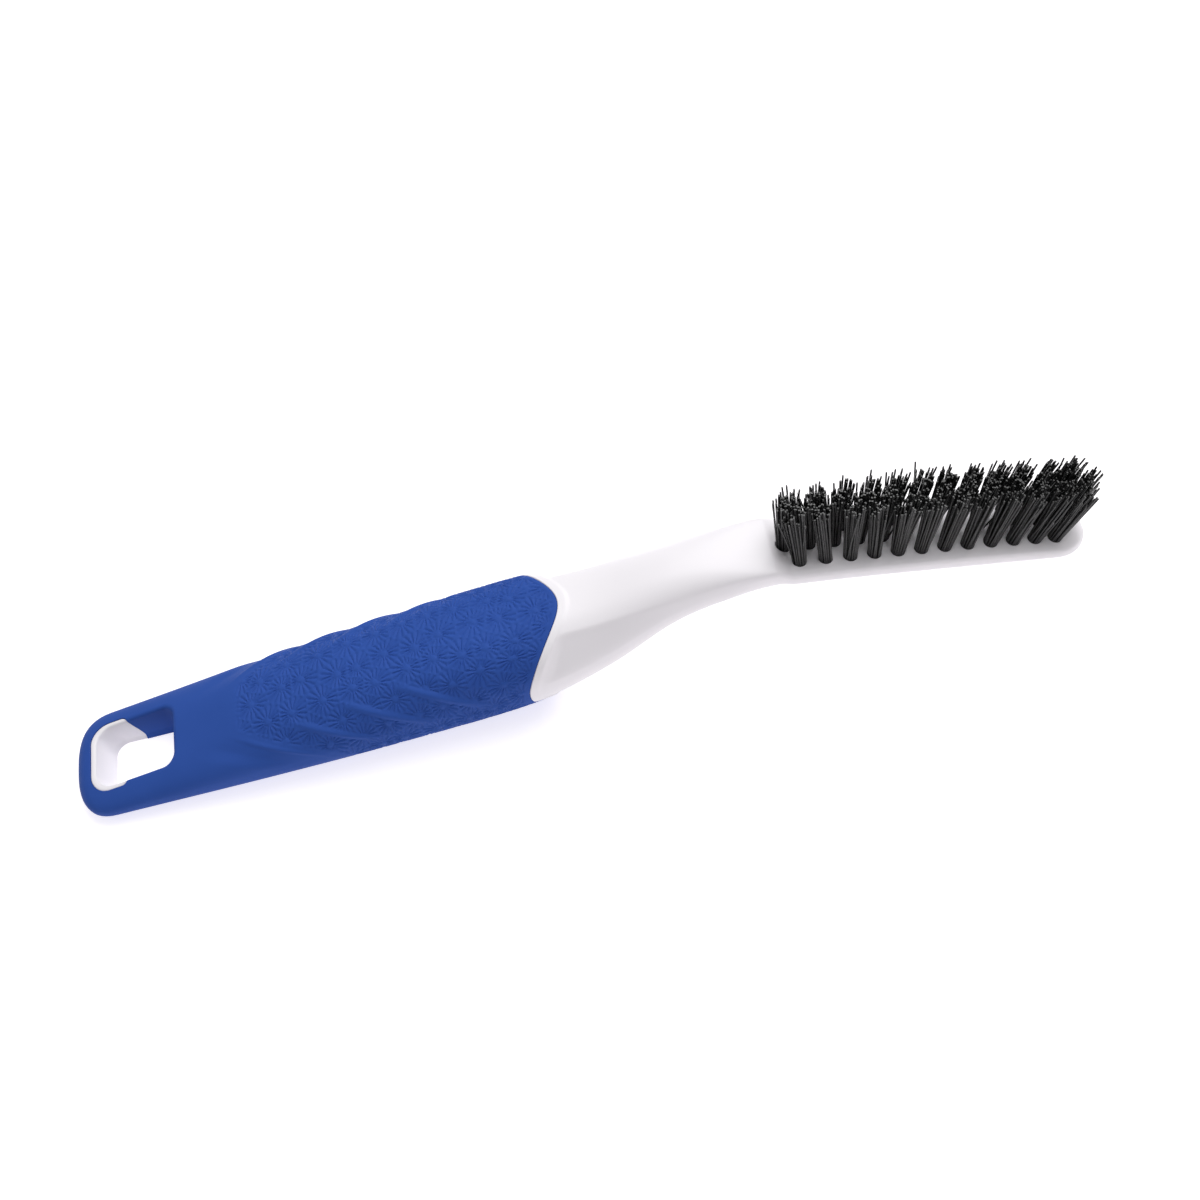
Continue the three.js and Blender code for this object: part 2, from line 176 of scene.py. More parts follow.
def sectionSizes(x, inset):
    form = handleForm
    toToe, toTail = form["length"] - x, x - inset - form["tailEnd"]
    tailPlan = filledOut(toTail, form["tailCorner"], form["tailCornerPower"])
    tailEdge = filledOut(toTail, form["tailEdge"], form["tailEdgePower"])
    head = smoothstep(x, form["heel"] - form["headBlend"], form["heel"])
    side = smoothstep(x, form["heel"] - form["sideBlend"], form["heel"])
    step = smoothstep(x, form["heel"] - form["heelStep"], form["heel"] + form["heelStep"])
    sizes = {"plan": tailPlan * filledOut(toToe, form["toeCorner"], form["toePower"])}
    sizes["edge"] = tailEdge * filledOut(toToe, form["toeEdge"], form["toePower"])
    sizes["top"] = blendTo(crownAt(x), faceAt(x), step) - inset
    sizes["bottom"] = backAt(x) + inset
    sizes["middle"] = (sizes["top"] + sizes["bottom"]) / 2
    sizes["widest"] = blendTo(sizes["middle"], sizes["top"] - form["faceEdge"], side)
    sizes["topPower"] = blendTo(*form["topPowers"], head)
    sizes["backPower"] = blendTo(*form["backPowers"], head)
    return sizes


def handlePoints(x, angle, inset=0.0, dent=0.0):
    x, angle, inset, dent = np.broadcast_arrays(x, angle, inset, dent)
    sizes = sectionSizes(x, inset)
    above = np.sin(angle) >= 0
    power = np.where(above, sizes["topPower"], sizes["backPower"])
    reach = np.where(above, sizes["top"] - sizes["widest"], sizes["widest"] - sizes["bottom"])
    y = sizes["plan"] * squared(np.cos(angle), power) * (halfWidthAt(x) - inset - dent)
    up = sizes["widest"] + squared(np.sin(angle), power) * (reach - dent)
    z = sizes["middle"] + sizes["edge"] * (up - sizes["middle"])
    return np.stack([x, y, np.maximum(z, inset)], axis=-1)


def topAt(x, y):  # height of the upper surface over a point of the plan
    sizes = sectionSizes(x, 0.0)
    power = sizes["topPower"]
    across = np.clip(np.abs(y) / (sizes["plan"] * halfWidthAt(x)), 0, 1)
    up = sizes["widest"] + (sizes["top"] - sizes["widest"]) * (1 - across ** power) ** (1 / power)
    return sizes["middle"] + sizes["edge"] * (up - sizes["middle"])


def gripEndAt(points):  # x of the grip's waved front end around the handle
    form = handleForm
    rise = np.arctan2(points[..., 2] - form["waveCentre"], np.abs(points[..., 1]))
    fall = form["waveTurn"] * (rise + math.radians(form["waveFlat"]))
    turn = np.minimum(rise, np.maximum(fall, -math.radians(form["waveStop"])))
    return form["gripEnd"] - form["gripEndWave"] * np.cos(2 * turn)


def evenAngles(count, x, backShare=1.0):  # angles for even spacing round the section at x, from the crown
    fine = np.linspace(0.5 * math.pi, 2.5 * math.pi, 4001)
    ring = handlePoints(np.float64(x), fine)
    lengths = np.linalg.norm(np.diff(ring, axis=0), axis=1)
    onBack = ring[1:, 2] < handleForm["backTop"]
    lengths = lengths * np.where(onBack, backShare, 1.0)  # fewer points on the back
    along = np.concatenate([[0], np.cumsum(lengths)])
    return np.interp(np.arange(count) / count * along[-1], along, fine)


def crowdedTo(tip, base, count, firstStep=0.35):
    turns = 0.5 * math.pi * (np.arange(count) + firstStep) / count
    return tip + (base - tip) * (1 - np.cos(turns))


# mesh helpers


def meshObject(name, points, faces):
    mesh = bpy.data.meshes.new(name)
    mesh.from_pydata(inFrame(points), [], faces)
    mesh.update()
    piece = bpy.data.objects.new(name, mesh)
    bpy.context.scene.collection.objects.link(piece)
    return piece


def closedTube(name, rings):  # skin over rings of equal counts, with a point at each end
    rows, count = rings.shape[:2]
    points = np.concatenate([rings.reshape(-1, 3), [rings[0].mean(0)], [rings[-1].mean(0)]])
    column = np.arange(count)
    after = (column + 1) % count
    start = (np.arange(rows - 1) * count)[:, None]
    quads = np.stack([start + column, start + after, start + count + after, start + count + column], axis=-1)
    faces = quads.reshape(-1, 4).tolist()
    first, second = rows * count, rows * count + 1
    faces += [[first, b, a] for a, b in zip(column.tolist(), after.tolist())]
    base = (rows - 1) * count
    faces += [[second, base + a, base + b] for a, b in zip(column.tolist(), after.tolist())]
    return meshObject(name, points, faces)


def combine(piece, other, operation="DIFFERENCE"):
    modifier = piece.modifiers.new("combine", "BOOLEAN")
    modifier.operation = operation
    modifier.solver = "MANIFOLD"
    modifier.object = other
    graph = bpy.context.evaluated_depsgraph_get()
    mesh = bpy.data.meshes.new_from_object(piece.evaluated_get(graph))
    piece.modifiers.clear()
    spent = [piece.data, other.data]
    piece.data = mesh
    bpy.data.objects.remove(other)
    for data in spent:
        bpy.data.meshes.remove(data)


def dress(piece, material):
    piece.data.materials.clear()
    piece.data.materials.append(material)
    piece.data.polygons.foreach_set("material_index", np.zeros(len(piece.data.polygons), np.int32))


def shadeSmooth(piece, sharpAngle=35):
    piece.data.polygons.foreach_set("use_smooth", np.ones(len(piece.data.polygons), bool))
    piece.data.set_sharp_from_angle(angle=math.radians(sharpAngle))
    piece.data.update()


# shader helpers


class Shade:
    def __init__(self, tree, socket):
        self.tree = tree
        self.socket = socket

    def node(self, kind, settings=None, out=0, **inputs):
        made = self.tree.nodes.new(kind)
        for key, value in (settings or {}).items():
            if key == "stops":
                setRamp(made.color_ramp, value)
            else:
                setattr(made, key, value)
        for key, value in inputs.items():
            target = made.inputs[int(key[1:])] if key[1:].isdigit() else made.inputs[key.replace("_", " ")]
            plug(self.tree, target, value)
        return Shade(self.tree, made.outputs[out])

    def math(self, operation, a, b=None):
        inputs = {"i0": a} if b is None else {"i0": a, "i1": b}
        return self.node("ShaderNodeMath", {"operation": operation}, **inputs)

    def __add__(self, other):
        return self.math("ADD", self, other)

    def __radd__(self, other):
        return self.math("ADD", other, self)

    def __sub__(self, other):
        return self.math("SUBTRACT", self, other)

    def __rsub__(self, other):
        return self.math("SUBTRACT", other, self)

    def __mul__(self, other):
        return self.math("MULTIPLY", self, other)

    def __rmul__(self, other):
        return self.math("MULTIPLY", other, self)


def setRamp(ramp, stops):
    while len(ramp.elements) < len(stops):
        ramp.elements.new(1.0)
    for element, (position, colour) in zip(ramp.elements, stops):
        element.position = position
        element.color = colour


def plug(tree, target, value):
    if isinstance(value, Shade):
        tree.links.new(value.socket, target)
    else:
        target.default_value = value


def noise(place, scale, detail):
    return place.node("ShaderNodeTexNoise", {}, Vector=place, Scale=scale, Detail=detail)


def colourRamp(value, *stops):
    return value.node("ShaderNodeValToRGB", {"stops": stops}, Fac=value)


def bump(height, strength, distance):
    return height.node("ShaderNodeBump", {}, Strength=strength, Distance=distance, Height=height)


def newMaterial(name):
    material = bpy.data.materials.new(name)
    material.use_nodes = True
    tree = material.node_tree
    shader = tree.nodes["Principled BSDF"]
    place = tree.nodes.new("ShaderNodeTexCoord")
    return material, shader, Shade(tree, place.outputs["Object"])


def feed(shader, name, value):
    plug(shader.id_data, shader.inputs[name], value)


gripLook = {
    "blue": (0.0265, 0.077, 0.33, 1),
    "paleBlue": (0.03, 0.085, 0.36, 1),
    "roughness": 0.55,
    "specular": 0.06,
    "cloudScale": 60.0,
    "cloudRoughness": 0.1,
    "grainScale": 2600.0,
    "grainRoughness": 0.12,
    "grainBump": 0.12,
    "grainHeight": 0.00005,
}


def gripRubber(look):
    material, shader, place = newMaterial("gripRubber")
    cloud = noise(place, look["cloudScale"], 3.0)
    grain = noise(place, look["grainScale"], 2.0)
    patches = look["cloudRoughness"] * (cloud - 0.5)
    grains = look["grainRoughness"] * (grain - 0.5)
    feed(shader, "Base Color", colourRamp(cloud, (0.3, look["blue"]), (0.7, look["paleBlue"])))
    feed(shader, "Roughness", look["roughness"] + patches + grains)
    feed(shader, "Specular IOR Level", look["specular"])
    feed(shader, "Normal", bump(grain, look["grainBump"], look["grainHeight"]))
    return material


coreLook = {
    "white": (0.838, 0.812, 0.848, 1),
    "paleWhite": (0.866, 0.84, 0.873, 1),
    "roughness": 0.32,
    "specular": 0.35,
    "cloudScale": 35.0,
    "cloudRoughness": 0.08,
    "peelScale": 420.0,  # a faint orange peel
    "peelBump": 0.05,
    "peelHeight": 0.0002,
}


def corePlastic(look):
    material, shader, place = newMaterial("corePlastic")
    cloud = noise(place, look["cloudScale"], 2.0)
    peel = noise(place, look["peelScale"], 2.0)
    feed(shader, "Base Color", colourRamp(cloud, (0.3, look["white"]), (0.7, look["paleWhite"])))
    feed(shader, "Roughness", look["roughness"] + look["cloudRoughness"] * (cloud - 0.5))
    feed(shader, "Specular IOR Level", look["specular"])
    feed(shader, "Normal", bump(peel, look["peelBump"], look["peelHeight"]))
    return material


nylonLook = {
    "black": (0.007, 0.007, 0.0072, 1),
    "worn": (0.022, 0.022, 0.0225, 1),
    # the cut ends' paler grey is partly the cut face's own colour and partly a painted highlight for the
    # glints at the tips
    "cutEndAndGlint": (0.12, 0.12, 0.12, 1),
    "roughness": 0.33,
    "cutRoughness": 0.45,
    "unevenness": 0.2,
    "streakScale": 900.0,
    "strandScale": 2400.0,
    "speckScale": 3000.0,
    "crimp": 5200.0,  # phase of the fine crimp per metre of height
    "crimpShift": 14.0,  # and how far it differs from strand to strand
    "crimpBump": 0.35,
    "crimpHeight": 0.0001,
}


def bristleNylon(look):
    material, shader, place = newMaterial("bristleNylon")
    streak = noise(place, look["streakScale"], 2.0)
    strand = noise(place, look["strandScale"], 0.0)
    height = place.node("ShaderNodeSeparateXYZ", {}, 2, Vector=place)
    crimp = place.math("SINE", height * look["crimp"] + strand * look["crimpShift"])
    feed(shader, "Base Color", colourRamp(streak, (0.35, look["black"]), (0.75, look["worn"])))
    feed(shader, "Roughness", look["roughness"] + look["unevenness"] * (streak - 0.5))
    feed(shader, "Normal", bump(crimp, look["crimpBump"], look["crimpHeight"]))
    return material


# the cut ends are painted a paler grey: partly their own matte cut face, partly a painted highlight standing
# in for the glints at the tips
def cutEndWithPaintedGlint(look):
    material, shader, place = newMaterial("cutEndWithPaintedGlint")
    speck = noise(place, look["speckScale"], 1.0)
    feed(shader, "Base Color", colourRamp(speck, (0.3, look["worn"]), (0.65, look["cutEndAndGlint"])))
    feed(shader, "Roughness", look["cutRoughness"] + look["unevenness"] * (speck - 0.5))
    return material


wireLook = {
    "grey": (0.42, 0.42, 0.43, 1),
    "paleGrey": (0.62, 0.62, 0.63, 1),
    "roughness": 0.3,
    "unevenness": 0.2,
    "drawnScale": 1500.0,
}


def anchorWire(look):
    material, shader, place = newMaterial("anchorWire")
    drawn = noise(place, look["drawnScale"], 3.0)
    feed(shader, "Base Color", colourRamp(drawn, (0.3, look["grey"]), (0.7, look["paleGrey"])))
    feed(shader, "Roughness", look["roughness"] + look["unevenness"] * drawn)
    feed(shader, "Metallic", 1.0)
    return material


# hanging hole: a white lining in the tail half and a blue one in the head half share one wall

hangingHole = {
    "tail": 3.35,  # ends and half width of the pocket that the white lining fills
    "head": 23.6,
    "halfWidth": 8.5,
    "tailRadius": 4.5,
    "headRadius": 3,
    "splitLow": 14.1,  # the linings meet on a slanting line
    "splitHigh": 12.1,
    "splitCorner": 1.3,
    "splitHeights": (0.5, 8.0),
    "ledge": 0.9,  # a small ledge runs round the wall just above the back
    "ledgeHalf": 6.2,
    "wallLow": 6.75,
    "wallHigh": 7.3,
    "wallTop": 6.0,  # the slant of the split is followed up to here, and then taken at the rim
    "rimTop": 7.5,
    "rim": 0.95,  # rounding of the upper edge
    "tailLedge": 7.1,
    "tailLow": 6.5,
    "tailHigh": 4.8,
    "tailCorner": 3,  # corners of the white wall at the back, and how they grow above it
    "tailCornerGain": 0.4,
    "tailOverrun": 2,  # each cut runs past the split by this
    "headOverrun": 1,
    "headDraft": 0.3,
    "flareGain": 0.5,  # how much of a flare goes into the radius of the corners
    "collar": 1.6,
    "linerFoot": 0.1,
    "linerTop": 5.0,
    "linerEdge": 0.25,
    "linerSink": 0.12,
    "levels": (-2, 14),
}


def arcPoints(centre, radius, fromAngle, toAngle, count=12):
    angles = np.radians(np.linspace(fromAngle, toAngle, count))
    return np.stack([centre[0] + radius * np.cos(angles), centre[1] + radius * np.sin(angles)], axis=1)


def tailOutline(side, tail, radius, end):
    corner = hangingHole["splitCorner"]
    lowerEnd = arcPoints((end - corner, corner - side), corner, -90, 0, 7)
    upperEnd = arcPoints((end - corner, side - corner), corner, 0, 90, 7)
    upper = arcPoints((tail + radius, side - radius), radius, 90, 180)
    lower = arcPoints((tail + radius, radius - side), radius, 180, 270)
    return np.concatenate([lowerEnd, upperEnd, upper, lower])


def headOutline(side, head, radius, start):
    lower = arcPoints((head - radius, radius - side), radius, -90, 0)
    upper = arcPoints((head - radius, side - radius), radius, 0, 90)
    ends = [(blendTo(head - radius, start, t), side) for t in (0.5, 1)]
    return np.concatenate([ends, [(x, -y) for x, y in reversed(ends)], lower, upper])


def splitAt(z):
    hole = hangingHole
    return blendTo(hole["splitLow"], hole["splitHigh"], smoothstep(z, *hole["splitHeights"]))


def stackRings(outlines):  # outlines with their heights, from the lowest to the highest
    return np.stack([np.column_stack([xy, np.broadcast_to(z, len(xy))]) for xy, z in outlines])


def uprightPrism(name, outlineAt):
    levels = np.linspace(*hangingHole["levels"], 33)
    return closedTube(name, stackRings([(outlineAt(z), z) for z in levels]))


def wallCutter(name, outlineAt):  # ledge, drafted wall and a rounded upper rim
    hole = hangingHole
    low, high = hole["levels"]
    ledge, rounding = hole["ledge"], hole["rim"]
    outlines = [(outlineAt(0, 0, low), low), (outlineAt(0, 0, 0), 0), (outlineAt(1, 0, ledge), ledge)]
    for t in np.linspace(0.1, 0.9, 9):
        xy = outlineAt(1 + t, 0, blendTo(ledge, hole["wallTop"], t))
        outlines.append((xy, blendTo(ledge, topAt(xy[:, 0], xy[:, 1]) - rounding, t)))
    for turn in np.radians(np.linspace(0, 90, 9)):
        xy = outlineAt(2, rounding * (1 - math.cos(turn)), hole["rimTop"])
        outlines.append((xy, topAt(xy[:, 0], xy[:, 1]) - rounding * (1 - math.sin(turn))))
    outlines.append((outlineAt(2, rounding, high), high))
    return closedTube(name, stackRings(outlines))


def wallHalf(stage):  # 0 at the back, 1 above the ledge, 2 under the rim
    hole = hangingHole
    return np.interp(stage, (0, 1, 2), (hole["ledgeHalf"], hole["wallLow"], hole["wallHigh"]))


def linerWall(stage, flare, z):  # the white wall's cut ends past the split, the same at each height
    hole = hangingHole
    tail = np.interp(stage, (0, 1, 2), (hole["tailLedge"], hole["tailLow"], hole["tailHigh"]))
    radius = hole["tailCorner"] + hole["tailCornerGain"] * stage + hole["flareGain"] * flare
    return tailOutline(wallHalf(stage) + flare, tail - flare, radius, hole["splitLow"] + hole["tailOverrun"])


def collarWall(stage, flare, z):
    hole = hangingHole
    head = hole["head"] - hole["headDraft"] * (2 - stage) + flare
    radius = hole["headRadius"] + hole["flareGain"] * flare
    return headOutline(wallHalf(stage) + flare, head, radius, splitAt(z) - hole["headOverrun"])


def linerPocket(inset):
    hole = hangingHole
    side, tail, radius = hole["halfWidth"] - inset, hole["tail"] + inset, hole["tailRadius"] - inset
    return lambda z: tailOutline(side, tail, radius, splitAt(z) - inset)


def collarBlock(growth, offset):
    hole = hangingHole
    side, head = hole["wallHigh"] + growth, hole["head"] + growth
    radius = hole["headRadius"] + hole["flareGain"] * growth
    return lambda z: headOutline(side, head, radius, splitAt(z) + offset)


def linerBody(inset):  # the white lining, just below the blue surface round it
    hole = hangingHole
    rounding = hole["linerEdge"]
    pocket = linerPocket(inset)
    outlines = [(pocket(z), z) for z in np.linspace(hole["linerFoot"], hole["linerTop"], 12)]
    for turn in np.radians((0, 30, 60, 90)):
        shrink = rounding * (1 - math.cos(turn))
        xy = linerPocket(inset + shrink)(hole["rimTop"])
        height = topAt(xy[:, 0], xy[:, 1]) - hole["linerSink"] - rounding * (1 - math.sin(turn))
        outlines.append((xy, height))
    return closedTube("linerBody", stackRings(outlines))


# grip: waves on the sides and a moulded field of starbursts

scallops = {
    "count": 4,
    "pitch": 12.0,
    "start": 36.4,  # first crest, at the top of the side
    "slant": 22.5,
    "depth": 0.42,
    "ridge": 0.55,  # share of the depth in a narrow ridge along each crest
    "ridgeWidth": 0.15,
    "top": 72,  # degrees round the section
    "bottom": -10,
    "fade": 0.35,  # share of the side over which the waves die out at its top and bottom
    "firstFade": (-1, -0.45),  # in pitches, before the first crest
    "lastFade": (0.9, 0.4),  # and counted back from one pitch past the last one
}

starbursts = {
    "spacing": 6.3,
    "rowRise": 0.866,  # height of a triangular grid's rows
    "jitter": 1.2,
    "rows": (-9, 10),
    "columns": 20,
    "gridStart": 24,
    "petals": 16,
    "turn": 0.7,  # each starburst is turned by this more than the one before
    "depth": 0.22,
    "inner": 0.45,
    "innerSoft": 0.4,
    "outer": 4.2,
    "outerSoft": 0.3,
    "grooveFloor": (0.02, 0.02),  # half widths at the middle, and their growth outwards
    "grooveEdge": (0.12, 0.09),
    "border": (0.02, 0.25),  # plain line between neighbours
    "start": 38.6,
    "endGap": 0.2,
    "endMargin": 1.4,
    "land": 6.0,  # bare strip on each side of the back's middle
    "fieldSoft": 1.5,
    "ridgeBare": (0.75, 1.15),  # in ridge widths, bare along each crest
    "ridgeStart": (0.1, 0.3),  # shares of the way down the side
    "ridgeStop": (0.7, 0.95),
    "seed": 7,
}

gripMesh = {
    "around": 250,
    "section": 70,  # the points are spread evenly round the section here
    "backShare": 0.4,
    "tailRings": 18,
    "plainGap": 0.8,
    "plainStep": 1.0,
    "fieldStart": 35,
    "fieldStep": 0.255,
    "bendStart": 80,  # from here the rings bend to follow the waved end
    "rim": 0.3,  # rounding of the front edge
    "insideStart": 100,
    "insideStep": 10,
    "insideTail": 1.4,
    "insideTailRings": 6,
    "bodyShare": 5,  # every fifth column is enough to trim the collar
}


def scallopTurns(x, angle):  # how far along the waves, and how far down the side
    waves = scallops
    rise = np.degrees(np.arcsin(np.sin(angle)))
    down = np.clip((waves["top"] - rise) / (waves["top"] - waves["bottom"]), 0, 1)
    return (x - waves["start"] - waves["slant"] * down) / waves["pitch"], down


def fromNearestCrest(turns):
    return np.abs(turns - np.clip(np.round(turns), 0, scallops["count"] - 1))


def fadeDown(down):
    fade = scallops["fade"]
    return smoothstep(down, 0, fade) * (1 - smoothstep(down, 1 - fade, 1))


def scallopDent(x, angle):
    waves = scallops
    turns, down = scallopTurns(x, angle)
    fromCrest = fromNearestCrest(turns)
    ridge = waves["ridge"] * smoothstep(fromCrest, 0, waves["ridgeWidth"])
    wave = ridge + (1 - waves["ridge"]) * smoothstep(fromCrest, 0, 0.5)
    lastFrom, lastTo = (waves["count"] - v for v in waves["lastFade"])
    fade = smoothstep(turns, *waves["firstFade"]) * (1 - smoothstep(turns, lastFrom, lastTo))
    return waves["depth"] * wave * fade * fadeDown(down)


def starburstMask(x, angle, around, total, ends):
    bursts, waves = starbursts, scallops
    turns, down = scallopTurns(x, angle)
    mask = smoothstep(x - bursts["start"] - waves["slant"] * down, 0, bursts["fieldSoft"])
    mask = mask * smoothstep(ends - x, bursts["endGap"], bursts["endMargin"])
    mask = mask * smoothstep(total / 2 - np.abs(around), bursts["land"], bursts["land"] + bursts["fieldSoft"])
    bareFrom, bareTo = (v * waves["ridgeWidth"] for v in bursts["ridgeBare"])
    bare = 1 - smoothstep(fromNearestCrest(turns), bareFrom, bareTo)
    bare = bare * smoothstep(down, *bursts["ridgeStart"]) * (1 - smoothstep(down, *bursts["ridgeStop"]))
    return mask * (1 - bare)


def starburstCentres():
    bursts = starbursts
    rng = np.random.default_rng(bursts["seed"])
    centres = []
    for row in range(*bursts["rows"]):
        for column in range(bursts["columns"]):
            x = bursts["gridStart"] + bursts["spacing"] * (column + 0.5 * (row % 2))
            centres.append((x, bursts["spacing"] * bursts["rowRise"] * row))
    centres = np.array(centres)
    return centres + rng.uniform(-bursts["jitter"], bursts["jitter"], centres.shape)


def starburstGrooves(x, around):
    bursts = starbursts
    inner, outer = bursts["inner"], bursts["outer"]
    (floor, floorGrowth), (edge, edgeGrowth) = bursts["grooveFloor"], bursts["grooveEdge"]
    centres = starburstCentres()
    grooves = np.zeros_like(x)
    step = 2 * math.pi / bursts["petals"]
    for i in range(len(x)):  # one ring at a time keeps the memory small
        dx = x[i][:, None] - centres[:, 0]
        dy = around[i][:, None] - centres[:, 1]
        distance = np.hypot(dx, dy)
        order = np.argpartition(distance, 1, axis=1)
        pick = np.arange(len(distance))
        nearest = order[:, 0]
        r, second = distance[pick, nearest], distance[pick, order[:, 1]]
        angle = np.arctan2(dy[pick, nearest], dx[pick, nearest]) + bursts["turn"] * nearest
        off = r * np.sin(np.abs((angle / step) % 1 - 0.5) * step)
        line = 1 - smoothstep(off, floor + floorGrowth * r, edge + edgeGrowth * r)
        reach = smoothstep(r, inner, inner + bursts["innerSoft"])
        reach = reach * (1 - smoothstep(r, outer - bursts["outerSoft"], outer))
        grooves[i] = line * reach * smoothstep(0.5 * (second - r), *bursts["border"])
    return grooves


def gridNormals(points):
    along = np.gradient(points, axis=0)
    ahead, behind = np.roll(points, -1, axis=1), np.roll(points, 1, axis=1)
    normal = np.cross(ahead - behind, along)
    return normal / np.maximum(np.linalg.norm(normal, axis=-1, keepdims=True), 1e-9)


def bentToEnd(x, ends):  # moves places near the grip's end along with its wave
    end = handleForm["gripEnd"]
    return x + smoothstep(x, gripMesh["bendStart"], end) * (ends - end)


def gripSkin(angles, ends):  # outer surface with its waves and starbursts
    form, rings = handleForm, gripMesh
    tail = crowdedTo(form["tailEnd"], form["tailCorner"], rings["tailRings"])
    plain = np.arange(form["tailCorner"] + rings["plainGap"], rings["fieldStart"], rings["plainStep"])
    field = np.arange(rings["fieldStart"], form["gripEnd"], rings["fieldStep"])
    x = np.repeat(np.concatenate([tail, plain, field, [form["gripEnd"]]])[:, None], len(angles), axis=1)
    x = bentToEnd(x, ends[None, :])
    outer = handlePoints(x, angles[None, :], 0.0, scallopDent(x, angles[None, :]))
    steps = np.linalg.norm(np.roll(outer, -1, axis=1) - outer, axis=-1)
    around = np.cumsum(steps, axis=1) - steps  # arc from the crown
    total = steps.sum(axis=1, keepdims=True)
    around = np.where(around > total / 2, around - total, around)
    mask = starburstMask(x, angles[None, :], around, total, ends[None, :])
    relief = starbursts["depth"] * mask * starburstGrooves(x, around)
    return outer - gridNormals(outer) * relief[..., None]


def insideStations():
    form, rings = handleForm, gripMesh
    tail = crowdedTo(form["tailEnd"] + rings["insideTail"], rings["insideStep"], rings["insideTailRings"])
    straight = np.arange(rings["insideStart"], rings["insideStep"], -rings["insideStep"])
    return np.concatenate([[form["gripEnd"]], straight, tail[::-1]])


def makeGrip():
    form, hole, rim = handleForm, hangingHole, gripMesh["rim"]
    angles = evenAngles(gripMesh["around"], gripMesh["section"], gripMesh["backShare"])
    ends = gripEndAt(handlePoints(np.full(len(angles), form["gripEnd"]), angles)) - form["seam"] / 2 - rim
    outer = gripSkin(angles, ends)
    front = []
    for turn in np.radians((30, 60, 90)):
        front.append(handlePoints(ends + rim * math.sin(turn), angles, rim * (1 - math.cos(turn))))
    inner = []
    for station in insideStations():
        place = bentToEnd(station, ends + rim)
        inner.append(handlePoints(place, angles, shellAt(place) - form["fitGap"]))
    grip = closedTube("gripSkin", np.concatenate([outer, front, inner]))
    collar = uprightPrism("collar", collarBlock(hole["collar"], form["seam"] / 2))
    combine(collar, closedTube("gripBody", outer[:, ::gripMesh["bodyShare"]]), "INTERSECT")
    combine(grip, collar, "UNION")
    combine(grip, uprightPrism("tailCut", linerPocket(0)))
    combine(grip, wallCutter("headCut", collarWall))
    shadeSmooth(grip)
    dress(grip, gripRubber(gripLook))
    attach(grip, "root")
    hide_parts("grip_sleeve")


# tufts: two outer rows side by side and a middle row set back by half a pitch

tufts = {
    "pitch": 4.71,
    "first": 162,
    "outerCount": 12,
    "endShift": -0.75,  # the end tufts sit a little nearer the tail than even spacing puts them
    "midShift": 0.2,
    "rowSpacing": 3.9,
    "rowSplay": -1,
    "heelSplay": -6,
    "length": 14.6,
    "rowTrim": 0.4,  # the near row is longer and the far row shorter by this
    "heelLean": -11,
    "toeLean": 11.5,
    "firstTurn": 6,  # the single tuft at the heel stands straighter
    "hole": 2.9,
    "holeDepth": 3.9,
    "holeMouth": [(-0.25, 0), (0.05, 0.06), (2.5, 0.6)],  # heights and how far the hole widens there
    "holeSides": 24,
}


def turnY(angle):
    c, s = math.cos(angle), math.sin(angle)
    return np.array([[c, 0, s], [0, 1, 0], [-s, 0, c]])


def turnX(angle):
    c, s = math.cos(angle), math.sin(angle)
    return np.array([[1, 0, 0], [0, c, -s], [0, s, c]])


def tuftPlaces(row):
    middle = row == 0
    last = tufts["outerCount"] - 1
    places = []
    for i in range(tufts["outerCount"] + (1 if middle else 0)):
        place = i - 0.5 if middle else i
        share = place / last
        shift = blendTo(tufts["midShift"], tufts["endShift"], min((2 * share - 1) ** 4, 1))
        x = tufts["first"] + tufts["pitch"] * place + shift
        lean = blendTo(tufts["heelLean"], tufts["toeLean"], share) + (tufts["firstTurn"] if place < 0 else 0)
        splay = blendTo(tufts["rowSplay"], tufts["heelSplay"], max(1 - share, 0) ** 6)
        fall = math.atan2(faceAt(x - 1) - faceAt(x + 1), 2)
        turn = turnY(fall + math.radians(lean)) @ turnX(-math.radians(splay * row))
        places.append((np.array([x, row * tufts["rowSpacing"], float(faceAt(x))]), turn))
    return places


def tuftHoles():
    sides = tufts["holeSides"]
    angles = np.linspace(0, 2 * math.pi, sides + 1)[:-1]
    levels = [(-tufts["holeDepth"], 0)] + tufts["holeMouth"]
    points, faces = [], []
    for row in (-1, 0, 1):
        for origin, turn in tuftPlaces(row):
            start = len(points)
            for height, flare in levels:
                r = tufts["hole"] / 2 + flare
                ring = np.stack([r * np.cos(angles), r * np.sin(angles), np.full(sides, height)], axis=1)
                points.extend(origin + ring @ turn.T)
            for level in range(len(levels) - 1):
                a = start + sides * level
                for j in range(sides):
                    k = (j + 1) % sides
                    faces.append([a + j, a + k, a + sides + k, a + sides + j])
            faces.append([start + j for j in reversed(range(sides))])
            faces.append([start + sides * (len(levels) - 1) + j for j in range(sides)])
    return meshObject("tuftHoles", np.array(points), faces)


# core: tang, neck and head in one white moulding

neck = {
    "rim": 0.25,  # rounding of the edge that meets the grip
    "band": 1.9,  # a slightly raised band beside the grip
    "bandSoft": 0.6,
    "bandHeight": 0.22,
    "bandRun": (4, 18),
    "barHalf": 6.9,  # the bar of the neck keeps this half width between the flared sides
    "leastFlare": 0.05,
    "flatten": 0.62,
    "flatRun": (1.3, 4),
    "edgeSoft": 1.0,
}

coreMesh = {
    "around": 180,
    "section": 128,  # the points are spread evenly round the section here
    "tangTail": 1.3,
    "tangTailRings": 12,
    "tangStart": 10,
    "tangStep": 3,
    "tangEnd": 100,
    "neckRings": 44,
    "neckReach": 12,  # the rings leave the wave of the grip's end behind over this length
    "neckFirst": 0.02,
    "neckCrowding": 1.3,
    "neckStep": 0.9,
    "heelGap": 0.4,
    "heelRings": 16,
    "headStep": 1.2,
    "toeRings": 20,
}


